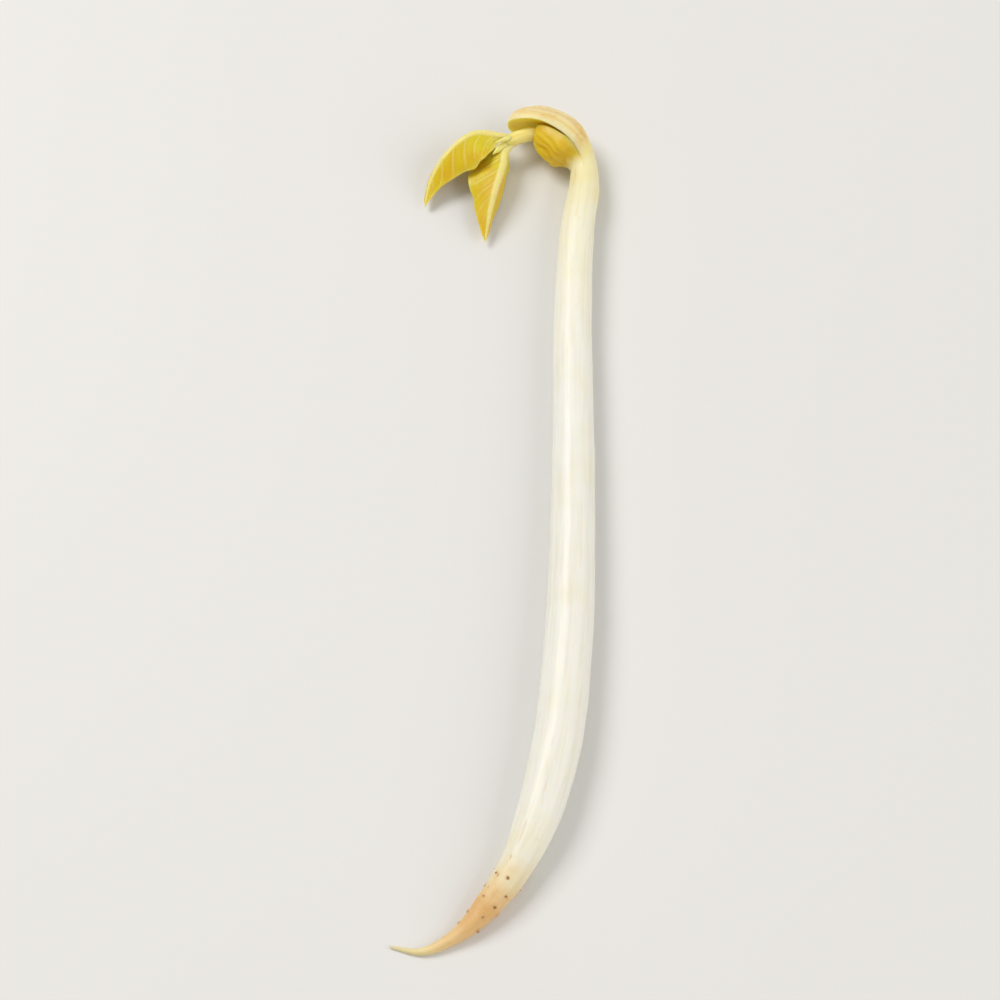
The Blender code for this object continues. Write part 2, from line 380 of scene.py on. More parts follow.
NECK_CREAM = (0.90, 0.815, 0.46)
SCUFF_TAN = (0.70, 0.50, 0.26)
SPECK_BROWN = (0.50, 0.27, 0.09)
GROWN = (-13.0, 52.0)  # mm from the collar: the root's tail and the neck, between which the colours change


def skin_finish(name, depth):
    """Skin of stem and root: cream white over the stem, yellower in the neck, tan and marked over the root,
    straw-coloured in its tail. depth is how much of its light comes from under the skin, which it does less
    where the skin passes into another piece's."""
    made, tree, shader = new_finish(name)
    straight = attribute(tree, "straight", "Vector")
    along = height_of(tree, straight)
    rooty = fading(tree, along, *ROOT_TO_STEM)
    drift = grain(tree, straight, 1, 0.9, 3.0)
    ragged = calc(tree, "MULTIPLY_ADD", calc(tree, "SUBTRACT", drift, 0.5), 3.0, along)

    def stop(distance, colour):
        return (distance - GROWN[0]) / (GROWN[1] - GROWN[0]), colour

    place = add(
        tree, "ShaderNodeMapRange", {"Value": ragged, "From Min": GROWN[0], "From Max": GROWN[1]}
    ).outputs[0]
    base = colour_ramp(tree, place, [
        stop(-11.5, (0.90, 0.79, 0.50)),
        stop(-7.6, (0.86, 0.68, 0.35)),
        stop(-5.4, (0.83, 0.56, 0.27)),
        stop(-3.4, (0.77, 0.47, 0.19)),
        stop(-2.0, (0.83, 0.59, 0.31)),
        stop(-0.8, (0.87, 0.75, 0.50)),
        stop(0.6, (0.90, 0.86, 0.70)),
        stop(3.0, (0.885, 0.87, 0.80)),
        stop(30.0, (0.88, 0.87, 0.82)),
        stop(37.0, (0.905, 0.885, 0.79)),
        stop(JOINING[0], (0.905, 0.875, 0.70)),
        stop(JOINING[1], NECK_CREAM),
    ])
    fibre = grain(tree, straight, 0.05, 4.5, 4.0)
    cloud = grain(tree, straight, 1, 0.35, 2.0)
    streaked = blend_colour(tree, "MULTIPLY", part_way(tree, fibre, 0.40, 0.70), base, (0.96, 0.945, 0.88))
    clouded = blend_colour(tree, "MULTIPLY", part_way(tree, cloud, 0.45, 0.75), streaked, (0.975, 0.98, 0.92))

    # thin tan scuffs along the fibres, most of them near both ends of the stem
    scuff_line = part_way(tree, grain(tree, straight, 0.16, 2.3, 5.0), 0.61, 0.72)
    near_ends = calc(tree, "MAXIMUM", fading(tree, ragged, 0.0, 11.0), part_way(tree, ragged, 38.0, 48.0))
    scuff = calc(tree, "MULTIPLY", scuff_line, calc(tree, "MULTIPLY_ADD", near_ends, 0.30, 0.10))
    scuffed = blend_colour(tree, "MIX", scuff, clouded, SCUFF_TAN)

    # brown specks of uneven size round the collar
    bent = vector_calc(tree, "ADD", straight, scaled(tree, cloudy(tree, straight, 1.7, 1.0, "Color"), 0.8))
    drawn_out = vector_calc(tree, "MULTIPLY", bent, (1, 1, 0.55))
    cells = add(tree, "ShaderNodeTexVoronoi", {"Vector": drawn_out, "Scale": 1.7})
    chance = add(tree, "ShaderNodeSeparateXYZ", {0: cells.outputs["Color"]})
    size = calc(tree, "MULTIPLY_ADD", chance.outputs["Y"], 0.16, 0.07)
    speck = fading(tree, calc(tree, "DIVIDE", cells.outputs["Distance"], size), 0.5, 1.0)
    chosen = calc(tree, "GREATER_THAN", chance.outputs["X"], 0.5)
    near_collar = calc(
        tree, "MULTIPLY", part_way(tree, ragged, -8.0, -5.0), fading(tree, ragged, -0.5, 3.0)
    )
    strength = calc(tree, "MULTIPLY", near_collar, 0.5)
    mark = calc(tree, "MULTIPLY", calc(tree, "MULTIPLY", speck, chosen), strength)
    marked = blend_colour(tree, "MIX", mark, scuffed, SPECK_BROWN)

    height = calc(tree, "MULTIPLY_ADD", grain(tree, straight, 1, 14.0, 2.0), 0.25, fibre)
    clear = calc(
        tree, "MULTIPLY", part_way(tree, calc(tree, "ABSOLUTE", along), 0.2, 2.2),
        fading(tree, along, *JOINING),
    )
    fill(tree, shader, {
        "Base Color": marked,
        "Normal": relief(tree, height, 0.35, 0.03),
        "Roughness": calc(tree, "MULTIPLY_ADD", cloud, 0.16, calc(tree, "MULTIPLY_ADD", rooty, 0.12, 0.32)),
        "Subsurface Weight": calc(tree, "MULTIPLY", clear, depth),
        "Subsurface Radius": (1.0, 0.84, 0.55),
        "Subsurface Scale": 0.9 * MM,
        "IOR": 1.4,
        "Coat Weight": 0.15,
        "Coat Roughness": 0.3,
    })
    return made


SKIN_RELIEF = dict(fibre_height=0.035 * MM, swelling_height=0.12 * MM, wrinkle_height=0.42 * MM)

skin_round_a_run = skin_tree()
whole_run, knot_places = smooth_run([
    (across, along * STEM_LENGTH, lift + girth * STEM_RADIUS - PRESS, girth * STEM_RADIUS)
    for across, along, lift, girth in ROOT_KNOTS + STEM_KNOTS
])
collar = knot_places[len(ROOT_KNOTS)]
shared = round(PASSAGE / RUN_SPACING)
stem_run = domed(taper_in(whole_run[collar - shared :], PASSAGE))
stem = skinned(
    "stem_skin", stem_run, skin_round_a_run, ring_spacing=0.22 * MM, sides=88, start=-PASSAGE * MM, sense=1.0,
    finish=skin_finish("stem_skin", depth=0.75), **SKIN_RELIEF,
)
packed_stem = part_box("stem")
drawn_corner = np.array([vertex.co for vertex in stem.data.vertices]).max(axis=0)
home = Vector((packed_stem[1].x - drawn_corner[0], packed_stem[1].y - drawn_corner[1], 0.0))


def bring_home(piece):
    """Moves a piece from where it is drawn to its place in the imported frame."""
    piece.data.transform(Matrix.Translation(home))


bring_home(stem)
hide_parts("stem")
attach(stem, "root")


# ---- tap root ------------------------------------------------------------------------------------------
# The young root below the collar: tan, matt and lengthwise wrinkled, tapering to a thread. Side roots have
# begun as small brown-tipped nubs in its upper half.

THREAD_POINTS = 16  # at the tail's end, where the root narrows by half once more

root_run = [point.copy() for point in taper_in(whole_run[: collar + shared][::-1], PASSAGE)]
for i in range(1, THREAD_POINTS):
    root_run[-i][3] *= 0.5 + 0.5 * i / THREAD_POINTS
root = skinned(
    "tap_root_skin", domed(root_run), skin_round_a_run, ring_spacing=0.1 * MM, sides=64,
    start=PASSAGE * MM, sense=-1.0, finish=skin_finish("root_skin", depth=0.45), **SKIN_RELIEF,
)
bring_home(root)
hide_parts("tap_root")
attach(root, "root")


# ---- side roots ----------------------------------------------------------------------------------------
# Side roots that have only begun: blunt nubs with dry brown tips that push through the root's skin, most of
# them just below the collar. They are grown at random over it, always the same ones.

NUB_RADIUS = 0.17  # mm
NUB_HEIGHT = 0.075  # mm


def object_place(tree):
    return add(tree, "ShaderNodeTexCoord").outputs["Object"]


def nub_finish():
    made, tree, shader = new_finish("side_root_tips")
    spots = cloudy(tree, object_place(tree), 9000.0, 2.0)
    uneven = calc(tree, "MULTIPLY_ADD", calc(tree, "SUBTRACT", spots, 0.5), 0.7, attribute(tree, "tip"))
    base = colour_ramp(tree, uneven, [
        (0.15, (0.74, 0.50, 0.22)),
        (0.60, (0.60, 0.35, 0.13)),
        (0.95, (0.30, 0.15, 0.05)),
    ])
    fill(tree, shader, {
        "Base Color": base,
        "Normal": relief(tree, spots, 0.5, 0.02),
        "Roughness": 0.55,
        "Subsurface Weight": 0.2,
        "Subsurface Scale": 0.2 * MM,
    })
    return made


def nub_tree():
    """Closed nubs over the upper part of a root's skin, square to it, and none on its underside."""
    tree, given = growing_tree("nubs_on_a_root", {
        "Root": "Geometry", "Spacing": "Float", "Radius": "Float", "Height": "Float", "Seed": "Int",
        "Finish": "Material",
    }, "Nubs")
    straight = add(
        tree, "GeometryNodeInputNamedAttribute", {"Name": "straight"}, data_type="FLOAT_VECTOR"
    ).outputs[0]
    along = height_of(tree, straight)
    upper = calc(tree, "MULTIPLY", part_way(tree, along, -7.0, -3.0), fading(tree, along, -1.2, 0.2))
    place = add(tree, "GeometryNodeInputPosition").outputs[0]
    clear = part_way(tree, height_of(tree, place), 0.1 * MM, 0.4 * MM)
    points = add(
        tree, "GeometryNodeDistributePointsOnFaces",
        {
            "Mesh": given["Root"], "Distance Min": given["Spacing"], "Density Max": 3.0e6,
            "Density Factor": calc(tree, "MULTIPLY", upper, clear), "Seed": given["Seed"],
        },
        distribute_method="POISSON",
    )
    ball = add(tree, "GeometryNodeMeshUVSphere", {"Segments": 16, "Rings": 10, "Radius": 1.0}).outputs[0]
    tipped = add(
        tree, "GeometryNodeStoreNamedAttribute",
        {"Geometry": ball, "Name": "tip", "Value": height_of(tree, place)}, data_type="FLOAT", domain="POINT",
    ).outputs[0]
    size = add(
        tree, "ShaderNodeCombineXYZ", {"X": given["Radius"], "Y": given["Radius"], "Z": given["Height"]}
    )
    nub = add(
        tree, "GeometryNodeSetPosition",
        {"Geometry": tipped, "Position": vector_calc(tree, "MULTIPLY", place, size.outputs[0])},
    ).outputs[0]
    vary = add(
        tree, "FunctionNodeRandomValue", {0: (0.35, 0.35, 0.5), 1: (1.1, 1.1, 1.2), "Seed": given["Seed"]},
        data_type="FLOAT_VECTOR",
    ).outputs[0]
    nubs = add(
        tree, "GeometryNodeInstanceOnPoints",
        {"Points": points.outputs[0], "Instance": nub, "Rotation": points.outputs["Rotation"], "Scale": vary},
    ).outputs[0]
    nubs = add(tree, "GeometryNodeRealizeInstances", {0: nubs}).outputs[0]
    lumps = vector_calc(tree, "SUBTRACT", cloudy(tree, place, 7000.0, 1.0, "Color"), (0.5, 0.5, 0.5))
    lumpy = {"Geometry": nubs, "Offset": scaled(tree, lumps, 0.10 * MM)}
    nubs = add(tree, "GeometryNodeSetPosition", lumpy).outputs[0]
    nubs = add(tree, "GeometryNodeSetShadeSmooth", {"Geometry": nubs}).outputs[0]
    nubs = add(tree, "GeometryNodeSetMaterial", {"Geometry": nubs, "Material": given["Finish"]}).outputs[0]
    add(tree, "NodeGroupOutput", {0: nubs})
    return tree


ground = bpy.data.objects.new("side_root_ground", root.data.copy())
bpy.context.scene.collection.objects.link(ground)
growth = ground.modifiers.new("nubs", "NODES")
growth.node_group = nub_tree()
set_inputs(growth, dict(
    spacing=0.75 * MM, radius=NUB_RADIUS * MM, height=NUB_HEIGHT * MM, seed=7, finish=nub_finish()
))
nubs = plain_mesh("side_root_nubs", ground)
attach(nubs, "root")


# ---- stalk of the shoot --------------------------------------------------------------------------------
# The epicotyl: a short, round, pale yellow stalk of the same juicy flesh as the stem. It grows on from the
# stem's top, between the bean halves, and carries the bud and the leaves.

# across, along, lift and radius, in mm, as for every run below
STALK_KNOTS = [
    (0.65, 26.5, 1.5, 0.40),
    (-0.6, 27.5, 1.65, 0.42),
    (-1.9, 28.05, 1.75, 0.44),
    (-3.0, 27.85, 1.8, 0.46),
    (-3.9, 27.45, 1.8, 0.46),
]
STALK_LENGTH = 5.5  # mm, from the stem's top to its rounded end


def stalk_finish():
    made, tree, shader = new_finish("stalk_pale_yellow")
    straight = attribute(tree, "straight", "Vector")
    base = colour_ramp(tree, calc(tree, "DIVIDE", height_of(tree, straight), STALK_LENGTH), [
        (0.0, (0.84, 0.66, 0.22)),
        (0.5, (0.94, 0.81, 0.31)),
        (0.8, (0.93, 0.82, 0.32)),
        (1.0, (0.85, 0.77, 0.18)),
    ])
    fibre = grain(tree, straight, 0.08, 7.0, 3.0)
    streaked = blend_colour(tree, "MULTIPLY", part_way(tree, fibre, 0.4, 0.7), base, (0.94, 0.88, 0.66))
    fill(tree, shader, {
        "Base Color": streaked,
        "Normal": relief(tree, fibre, 0.4, 0.03),
        "Roughness": 0.36,
        "Subsurface Weight": 0.6,
        "Subsurface Radius": (1.0, 0.85, 0.3),
        "Subsurface Scale": 0.5 * MM,
        "IOR": 1.4,
        "Coat Weight": 0.2,
        "Coat Roughness": 0.25,
    })
    return made


stalk_run, _ = smooth_run(STALK_KNOTS)
stalk_skin = stalk_finish()
stalk = skinned(
    "shoot_stalk", domed(stalk_run), skin_round_a_run, ring_spacing=0.08 * MM, sides=48, start=0.0, sense=1.0,
    fibre_height=0.10 * MM, swelling_height=0.20 * MM, wrinkle_height=0.0, finish=stalk_skin,
)
bring_home(stalk)
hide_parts("epicotyl")
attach(stalk, "root")


# ---- bean halves ---------------------------------------------------------------------------------------
# The two seed leaves, drained by the growing shoot: wrinkled lengthwise outside, hollow inside, with a
# rounded rim. They sit face to face at the top of the neck, cream where they join it and golden further on;
# the golden of the hollow faces and of the inner half is partly their own yellow and partly painted shade of
# the hollow.

BEAN_HEIGHT = 3.3  # mm
BEAN_THICKNESS = 1.6  # mm, rim to back
BEAN_GAP = 0.03  # mm, rim to the line between the two, once they have parted
BEAN_OVERLAP = 0.12  # mm, how much further the halves reach into each other at the foot
# mm from a half's foot, over which it reaches its full height, swells out of the neck, begins to be wrinkled
# and parts from the other half
BEAN_RISES, BEAN_SWELLS, BEAN_WRINKLES, BEAN_PARTS = (0.0, 3.3), (0.5, 3.5), (1.2, 3.2), (1.5, 4.0)
# the line between the two, foot to tip, in mm
BEAN_KNOTS = [
    (1.0, 24.4, 1.25),
    (1.05, 25.4, 1.35),
    (0.6, 26.45, 1.5),
    (-0.6, 27.6, 1.7),
    (-2.1, 28.4, 1.75),
    (-3.9, 28.7, 1.7),
]


def place_on(run, share, evened=4):
    """The point at this share of a run, and the direction there, evened over some points each way."""
    last = len(run) - 1
    at = min(max(share, 0.0), 1.0) * last
    i = min(int(at), last - 1)
    point = run[i] + (run[i + 1] - run[i]) * (at - i)
    here, beyond = (run[min(k + evened, last)] - run[max(k - evened, 0)] for k in (i, i + 1))
    ahead = Vector((here + (beyond - here) * (at - i))[:3]).normalized()
    return Vector(point[:3]), ahead


def ease(value, low, high):
    t = min(max((value - low) / (high - low), 0.0), 1.0)
    return t * t * (3 - 2 * t)


NECK_REACH = 8.0  # mm, how far down from the stem's top a half looks for the neck
NECK_EVENED = 0.04  # square mm, how much further than the nearest point others still count

neck_line = np.array(whole_run[-round(NECK_REACH / RUN_SPACING) :])


def neck_at(place):
    """The point of the stem's middle line nearest to a place, and the stem's radius there, both evened over
    the points that are about as near."""
    apart = np.sum((neck_line[:, :3] - np.array(place)) ** 2, axis=1)
    weight = np.exp((apart.min() - apart) / NECK_EVENED)
    nearest = weight @ neck_line / weight.sum()
    return Vector(nearest[:3]), float(nearest[3])


def ball_points(shape, sides, rings):
    """Makes a closed ball and gives its points: each with its share of the way from foot to tip, how far out
    it lies there, from 0 to 1, and its direction out of the middle, in two parts."""
    bmesh.ops.create_uvsphere(shape, u_segments=sides, v_segments=rings, radius=1)
    for vertex in shape.verts:
        x, y, z = vertex.co
        ring = math.hypot(x, y)
        yield vertex, 0.5 - 0.5 * z, ring, (x / ring, y / ring) if ring > 1e-6 else (0.0, 0.0)


def grown_piece(name, shape, finish):
    """A piece from its finished shape, smooth and in its place."""
    mesh = bpy.data.meshes.new(name)
    shape.to_mesh(mesh)
    shape.free()
    mesh.shade_smooth()
    mesh.materials.append(finish)
    made = bpy.data.objects.new(name, mesh)
    bpy.context.scene.collection.objects.link(made)
    bring_home(made)
    return made


def bean_half(name, side, reach, height, lean, hollow, finish):
    """side is 1 for the outside of the bend and -1 for the inside. reach is its share of the line between the
    two, lean is how far its top tips away from the line, in degrees, or over it where that is below 0, and
    hollow is how deep its inner face lies, as a share of its thickness. Its foot lies in the neck's skin."""
    run, _ = smooth_run(BEAN_KNOTS)
    run = run[: 1 + round(reach * (len(run) - 1))]
    length = run_length(run)
    tilt = math.radians(lean)
    shape = bmesh.new()
    layers = {key: shape.verts.layers.float.new(key) for key in ("groove", "inside", "rim", "freed")}
    for vertex, share, ring, (up, out) in ball_points(shape, 128, 110):
        distance = share * length
        centre, ahead = place_on(run, share)
        level = ahead.cross(Vector((0, 0, 1))).normalized() * side
        crest = level.cross(ahead).normalized() * side
        high = crest * math.cos(tilt) + level * math.sin(tilt)
        outward = level * math.cos(tilt) - crest * math.sin(tilt)
        grown = 0.5 + 0.5 * ease(distance, *BEAN_RISES)
        closing = ring**0.35 if share < 0.5 else ring**0.6

        turn = math.atan2(out, up)
        sway = noise.noise(Vector((share * 4, turn * 0.8, side * 5.0)))
        crease = noise.noise(Vector((share * 2.2 + 9 * side, turn * 2.6 + sway * 0.7, 3.0)))
        fine = noise.noise(Vector((share * 6.0, turn * 7.0 + sway, 7.0 * side)))
        wrinkled = ease(distance, *BEAN_WRINKLES) * ring
        groove = (abs(crease) * 1.5 - 0.3) * wrinkled
        rise = up * closing * grown * height / 2
        rise *= 1 + 0.05 * noise.noise(Vector((share * 5, side, up))) * wrinkled
        if out > 0:
            depth = closing * grown * out * BEAN_THICKNESS * (1 + 0.22 * groove + 0.05 * fine * wrinkled)
        else:
            sunk = hollow * ease(share, 0.05, 0.45) * ring - 0.03 * groove
            depth = sunk * (1 - up * up) * BEAN_THICKNESS
        parted = BEAN_GAP - BEAN_OVERLAP * (1 - ease(distance, *BEAN_PARTS))
        place = centre + high * rise + outward * (depth + parted)

        neck, radius = neck_at(centre)
        hidden = radius * (0.92 + 0.075 * ease(distance, 0.0, 0.8)) * min(1.0, closing * 1.2)
        foot = neck + high * (up * hidden) + outward * (max(out, 0.0) * hidden)
        place = foot.lerp(place, ease(distance, *BEAN_SWELLS))
        place.z = max(place.z, 0.0)
        neck, radius = neck_at(place)
        vertex.co = place * MM
        # groove also carries painted shade: the shader darkens the halves in the grooves of the wrinkles
        vertex[layers["groove"]] = groove * (1.0 if out > 0 else 0.45)
        vertex[layers["inside"]] = 1.0 - ease(out, -0.35, 0.15)
        # rim marks the band that the shader paints paler: a painted highlight where the rounded rim catches
        # the light
        vertex[layers["rim"]] = math.exp(-(((out - 0.05) / 0.22) ** 2)) * wrinkled
        vertex[layers["freed"]] = (place - neck).length - radius
    bmesh.ops.recalc_face_normals(shape, faces=shape.faces)
    return grown_piece(name, shape, finish)


SHOULDER_YELLOW = (0.91, 0.79, 0.34)


def bean_finish(name, back, face, rim, own):
    """Shrivelled seed leaf: the colours of its back, inner face and rim, and from how far to how far out of
    the neck's skin the neck's colour gives way to them, in mm."""
    made, tree, shader = new_finish(name)
    freed, inside, groove, edge = (attribute(tree, key) for key in ("freed", "inside", "groove", "rim"))
    where = object_place(tree)
    patch, mottled = (cloudy(tree, where, scale, 3.0) for scale in (900.0, 4200.0))

    def shade(below, amount, tint, weight=1.0):
        return blend_colour(tree, "MULTIPLY", calc(tree, "MULTIPLY", amount, weight), below, tint)

    # painted shade, in part: the inner face's golden is deeper than the half's own yellow and stands for the
    # shade and bounced light in the hollow
    colour = blend_colour(tree, "MIX", inside, back, face)
    colour = shade(colour, part_way(tree, patch, 0.42, 0.68), (0.95, 0.84, 0.60))
    # painted shade: the colour is darkened towards tan in the grooves of the wrinkles, where shade falls in
    # the creases
    colour = shade(colour, part_way(tree, groove, 0.02, -0.28), (0.86, 0.68, 0.36), 0.5)
    colour = shade(colour, part_way(tree, mottled, 0.5, 0.75), (0.88, 0.74, 0.48), 0.5)
    # painted highlight: a paler band along the rounded rim, where it catches the light
    colour = blend_colour(tree, "MIX", calc(tree, "MULTIPLY", edge, 0.7), colour, rim)
    ragged = calc(tree, "MULTIPLY", calc(tree, "SUBTRACT", patch, 0.5), part_way(tree, freed, 0.0, 0.3))
    wander = calc(tree, "MULTIPLY_ADD", ragged, 0.8, freed)
    shoulder = blend_colour(tree, "MIX", part_way(tree, freed, 0.0, 0.25), NECK_CREAM, SHOULDER_YELLOW)
    colour = blend_colour(tree, "MIX", part_way(tree, wander, *own), shoulder, colour)
    fill(tree, shader, {
        "Base Color": colour,
        "Normal": relief(tree, mottled, 0.4, 0.05),
        "Roughness": calc(tree, "MULTIPLY_ADD", mottled, 0.2, 0.34),
        "Subsurface Weight": calc(tree, "MULTIPLY", part_way(tree, freed, 0.05, 0.6), 0.6),
        "Subsurface Radius": (1.0, 0.75, 0.25),
        "Subsurface Scale": 0.9 * MM,
        "IOR": 1.42,
        "Coat Weight": 0.15,
        "Coat Roughness": 0.3,
    })
    return made


# painted shade, in part: the golden faces, and the inner half golden all over, stand for the shade in the
# hollow between the halves as well as for their own yellow
outer_finish = bean_finish(
    "bean_half_cream",
    back=(0.89, 0.74, 0.38), face=(0.98, 0.81, 0.02), rim=(0.92, 0.80, 0.44), own=(0.1, 0.9),
)
inner_finish = bean_finish(
    "bean_half_golden",
    back=(0.80, 0.57, 0.018), face=(0.86, 0.65, 0.03), rim=(0.82, 0.60, 0.10), own=(0.05, 0.55),
)
bean_outer = bean_half(
    "bean_half_outer", side=1, reach=1.0, height=BEAN_HEIGHT, lean=-8, hollow=0.17, finish=outer_finish
)
bean_inner = bean_half(
    "bean_half_inner", side=-1, reach=0.76, height=0.97 * BEAN_HEIGHT, lean=8, hollow=0.14,
    finish=inner_finish,
)
for half, node in ((bean_outer, "cotyledon_outer"), (bean_inner, "cotyledon_inner")):
    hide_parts(node)
    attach(half, "root")


# ---- bud -----------------------------------------------------------------------------------------------
# The shoot's tip at the stalk's end: a closed pointed bud between two small pointed scales. They are of the
# stalk's own flesh, and each grows out of its rounded end.

BUD_RUNS = {
    "shoot_bud": [
        (-3.7, 27.5, 1.8, 0.2), (-4.15, 27.1, 1.9, 0.26), (-4.5, 26.75, 1.98, 0.2), (-4.85, 26.4, 2.0, 0.05),
    ],
    "shoot_scale_upper": [
        (-3.6, 27.6, 2.1, 0.12), (-4.0, 27.35, 2.3, 0.15), (-4.4, 27.15, 2.38, 0.10),
        (-4.75, 27.0, 2.38, 0.03),
    ],
    "shoot_scale_lower": [
        (-3.6, 27.3, 1.5, 0.12), (-4.0, 27.0, 1.38, 0.15), (-4.4, 26.8, 1.4, 0.10),
        (-4.7, 26.65, 1.46, 0.03),
    ],
}
for name, knots in BUD_RUNS.items():
    bud_run, _ = smooth_run(knots, 0.04)
    bud = skinned(
        name, domed(taper_in(bud_run, 0.25)), skin_round_a_run, ring_spacing=0.035 * MM, sides=32,
        start=4.0 * MM, sense=1.0, fibre_height=0.3 * MM, swelling_height=0.3 * MM, wrinkle_height=0.0,
        finish=stalk_skin,
    )
    bring_home(bud)
    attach(bud, "root")


# ---- leaves --------------------------------------------------------------------------------------------
# The first two true leaves, opposite each other on the stalk, still thin and folded along the midrib. They
# are bright yellow because they grew in the dark, with paler veins and margins, and droop towards their tips.
# Each grows from the shoot on a short pale stalk, which runs on as the midrib and stands out along the fold.

BLADE = 0.22  # mm, thickness
FOLD = 0.2  # mm, how far the bend over the midrib reaches on each side
LEAF_STALK = 0.23  # mm, radius
MARGIN_LIFT = 0.15  # mm, least height of a blade's margin, before it waves
LEAF_CLEARANCE = 0.02  # mm, least height of any of it
VEIN_PAIRS = 7
VEIN_SLANT = 0.26  # how far a vein runs forward to the margin, as a share of the blade's length
VEIN_STAGGER = 0.35  # between the veins of the two sides, as a share of the way from one to the next
VEIN_WIDTH = 0.012  # as a share of the blade's length
# the first knot of each lies in the shoot's stalk and the second is the blade's foot; in mm
LEFT_KNOTS = [
    (-3.1, 27.62, 1.8),
    (-4.3, 27.7, 2.05),
    (-6.0, 27.6, 2.5),
    (-7.8, 26.4, 2.0),
    (-8.85, 24.8, 1.15),
    (-9.2, 23.4, 0.45),
]
LOWER_KNOTS = [
    (-3.2, 27.65, 1.75),
    (-3.95, 26.9, 1.8),
    (-4.25, 25.5, 1.9),
    (-4.75, 23.8, 1.65),
    (-5.15, 22.2, 1.1),
    (-5.4, 20.8, 0.45),
]


def half_width(share, fullest):
    """Midrib to margin, as a share of the leaf's width: nothing at the foot, fullest at the given share."""
    rounding = math.log(0.5) / math.log(fullest)
    body = math.sin(math.pi * share**rounding) ** 1.1 if 0 < share < 1 else 0.0
    return 0.90 * body + 0.10 * (1 - share) * ease(share, -0.01, 0.10)


def folded(reach, left_slope, right_slope):
    """Across and down from the midrib at a signed distance along a blade that bends over it, and the angle at
    which the blade falls there."""
    middle_slope = (right_slope - left_slope) / 2
    bend = (right_slope + left_slope) / (2 * FOLD)
    bent = min(max(reach, -FOLD), FOLD)
    angle = middle_slope + bend * bent
    across = (math.sin(angle) - math.sin(middle_slope)) / bend + (reach - bent) * math.cos(angle)
    down = (math.cos(middle_slope) - math.cos(angle)) / bend + (reach - bent) * math.sin(angle)
    return across, down, angle


def veins(share, side):
    """Height of the side veins, which curve forward to the margin, and of the bulges between them, 0 to 1."""
    if not 0 < share < 1:
        return 0.0, 0.0
    reach = abs(side)
    phase = (share - VEIN_SLANT * reach**0.8) * VEIN_PAIRS + (VEIN_STAGGER if side > 0 else 0.0)
    off = abs(phase - round(phase))
    ridge = math.exp(-((off / VEIN_PAIRS / VEIN_WIDTH) ** 2)) * (1 - ease(reach, 0.75, 0.98))
    return ridge * (1 - ease(share, 0.8, 0.95)), ease(off, 0.0, 0.5) * reach * (1 - reach * reach)


def leaf(name, knots, left_slope, right_slope, fullest, width, finish):
    """The slopes say how steeply each half falls from the midrib, seen from the foot towards the tip. width
    is that of one half, in mm. A half that would reach the surface is narrower. share is below 0 along the
    leaf's stalk, which is round."""
    run, knot_places = smooth_run(knots)
    foot = knot_places[1] / (len(run) - 1)
    own = width * 7.3  # where this leaf's waves are read in the noise
    shape = bmesh.new()
    layers = {key: shape.verts.layers.float.new(key) for key in ("vein", "share", "side")}
    for vertex, travelled, ring, (side, over) in ball_points(shape, 144, 190):
        share = (travelled - foot) / (1 - foot)
        side *= 0.55 + 0.45 * side * side
        leafy = ease(share, -0.02, 0.10)
        unfolding = max(ease(share, -0.12, 0.01), 0.01)
        slopes = [math.radians(slope) * unfolding for slope in (left_slope, right_slope)]
        centre, ahead = place_on(run, travelled, 12)
        right = ahead.cross(Vector((0, 0, 1))).normalized()
        crest = right.cross(ahead).normalized()

        room = (centre.z - MARGIN_LIFT) / math.sin(slopes[1] if side > 0 else slopes[0])
        edge = 1 + 0.07 * noise.noise(Vector((share * 8, own + (4 if side > 0 else 0), 0)))
        girth = LEAF_STALK * (1 - max(share, 0.0)) ** 0.6
        spread = girth + width * half_width(share, fullest) * edge
        reach = side * min(spread, room) * ring**0.2
        across, down, angle = folded(reach, *slopes)

        vein, bulge = veins(share, side)
        wave = noise.noise(Vector((share * 4.5, side * 1.3, own))) * 0.36 * side * side + 0.10 * bulge
        rib = max(0.0, 1 - (reach / (girth * (1 + 0.4 * leafy) + 1e-6)) ** 2)
        ridge = girth * rib ** (0.5 + 0.5 * leafy) * (1.0 if over > 0 else 1 - 0.4 * leafy)
        thin = BLADE / 2 * abs(over) ** 0.5 * leafy
        thick = (thin**4 + ridge**4) ** 0.25 * ring**0.4 + (0.035 if over > 0 else 0.015) * vein * leafy
        rise = math.copysign(thick, over) + wave * leafy * min(1.0, ring * 2) * (1 - 0.5 * share)
        place = centre + right * (across + math.sin(angle) * rise) + crest * (math.cos(angle) * rise - down)
        place.z = max(place.z, LEAF_CLEARANCE)
        vertex.co = place * MM
        pale = ease(rib, 0.1, 0.9) * (0.9 if over > 0 else 0.6)
        vertex[layers["vein"]] = max(0.3 * vein, pale, 1 - leafy)
        vertex[layers["share"]] = share
        vertex[layers["side"]] = side
    return grown_piece(name, shape, finish)


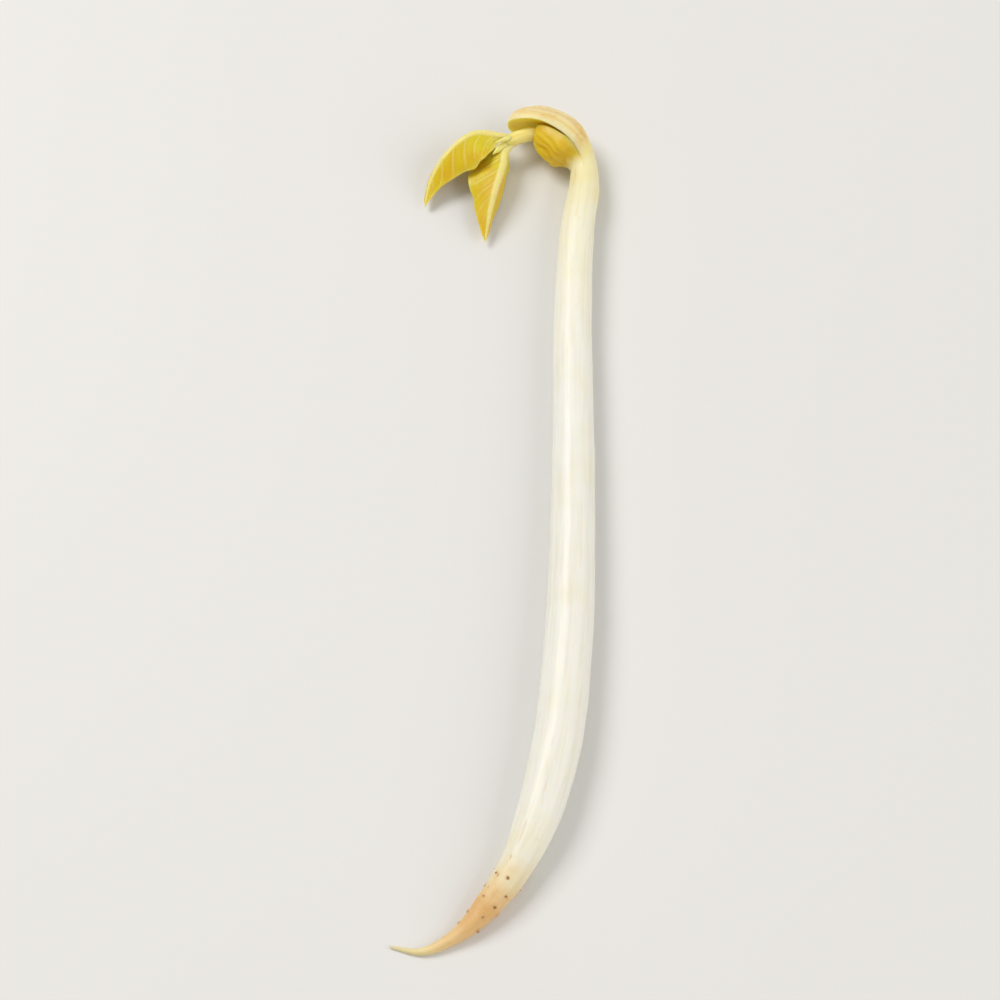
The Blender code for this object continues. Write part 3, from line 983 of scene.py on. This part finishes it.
def leaf_finish():
    made, tree, shader = new_finish("leaf_yellow")
    share, side, vein = (attribute(tree, key) for key in ("share", "side", "vein"))
    where = object_place(tree)
    patch, cells = (cloudy(tree, where, scale, 2.0) for scale in (520.0, 7000.0))
    colour = colour_ramp(tree, share, [
        (0.0, (0.80, 0.72, 0.12)),
        (0.2, (0.72, 0.61, 0.015)),
        (0.5, (0.74, 0.55, 0.008)),
        (0.8, (0.74, 0.55, 0.01)),
        (1.0, (0.78, 0.62, 0.05)),
    ])

    def mixed(below, amount, weight, above, kind="MIX"):
        return blend_colour(tree, kind, calc(tree, "MULTIPLY", amount, weight), below, above)

    near_margin = part_way(tree, calc(tree, "ABSOLUTE", side), 0.84, 1.0)
    colour = mixed(colour, part_way(tree, patch, 0.45, 0.7), 0.7, (0.74, 0.45, 0.005))
    colour = mixed(colour, near_margin, 0.5, (0.85, 0.72, 0.18))
    colour = mixed(colour, vein, 0.95, (0.89, 0.79, 0.33))
    colour = mixed(colour, part_way(tree, cells, 0.4, 0.7), 0.5, (0.92, 0.90, 0.6), "MULTIPLY")
    fill(tree, shader, {
        "Base Color": colour,
        "Normal": relief(tree, cells, 0.3, 0.02),
        "Roughness": calc(tree, "MULTIPLY_ADD", cells, 0.16, 0.34),
        "Subsurface Weight": 0.5,
        "Subsurface Radius": (1.0, 0.85, 0.12),
        "Subsurface Scale": 0.4 * MM,
        "IOR": 1.4,
        "Coat Weight": 0.06,
        "Coat Roughness": 0.3,
    })
    return made


yellow = leaf_finish()
for node, knots, slopes, fullest, width in (
    ("leaf_left", LEFT_KNOTS, (12, 78), 0.38, 1.9),
    ("leaf_lower", LOWER_KNOTS, (82, 24), 0.28, 2.1),
):
    blade = leaf(node + "_blade", knots, *slopes, fullest, width, yellow)
    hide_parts(node)
    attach(blade, "root")


# ---- floor, light and camera ---------------------------------------------------------------------------
# A plain pale table top under broad soft light: a large lamp high on the left, a weaker one low on the right
# and a bright room. The camera looks down on the sprout from the side of its root.

FLOOR_WIDTH = 4.0  # m
CAMERA_RISE = math.radians(65)
CAMERA_DISTANCE = 0.168  # m
LENS = 100  # mm


def floor_finish():
    made, tree, shader = new_finish("pale_table")
    cloud = cloudy(tree, object_place(tree), 12.0, 2.0)
    tone = blend_colour(tree, "MIX", cloud, (0.775, 0.77, 0.755), (0.805, 0.80, 0.785))
    fill(tree, shader, {"Base Color": tone, "Roughness": 0.55})
    return made


floor_mesh = bpy.data.meshes.new("table_top")
shape = bmesh.new()
bmesh.ops.create_grid(shape, x_segments=1, y_segments=1, size=FLOOR_WIDTH / 2)
shape.to_mesh(floor_mesh)
shape.free()
floor_mesh.materials.append(floor_finish())
table_top = bpy.data.objects.new("table_top", floor_mesh)
bpy.context.scene.collection.objects.link(table_top)


def soft_light(name, place, size, power, colour):
    """A square lamp that faces the sprout. Place and size are in metres, power in watts."""
    lamp = bpy.data.lights.new(name, "AREA")
    lamp.shape = "SQUARE"
    lamp.size = size
    lamp.energy = power
    lamp.color = colour
    made = bpy.data.objects.new(name, lamp)
    made.location = place
    made.rotation_euler = (-Vector(place)).to_track_quat("-Z", "Y").to_euler()
    bpy.context.scene.collection.objects.link(made)


soft_light("key", (-0.22, 0.16, 0.34), 0.20, 1.0, (1.0, 0.985, 0.96))
soft_light("fill", (0.30, -0.10, 0.22), 0.30, 0.55, (1.0, 0.98, 0.95))

room = bpy.data.worlds.new("room")
room.use_nodes = True
fill(room.node_tree, room.node_tree.nodes["Background"], {"Color": (1.0, 0.985, 0.96, 1), "Strength": 0.46})
bpy.context.scene.world = room
bpy.context.scene.view_settings.view_transform = "Standard"

lens = bpy.data.cameras.new("camera")
lens.lens = LENS
lens.sensor_width = 36
lens.clip_start = 0.01
lens.clip_end = 10
camera = bpy.data.objects.new("camera", lens)
aim = (Vector(cad_box[0]) + Vector(cad_box[1])) / 2
back = Vector((0, -math.cos(CAMERA_RISE), math.sin(CAMERA_RISE)))
camera.location = aim + back * CAMERA_DISTANCE
camera.rotation_euler = (-back).to_track_quat("-Z", "Y").to_euler()
bpy.context.scene.collection.objects.link(camera)
bpy.context.scene.camera = camera
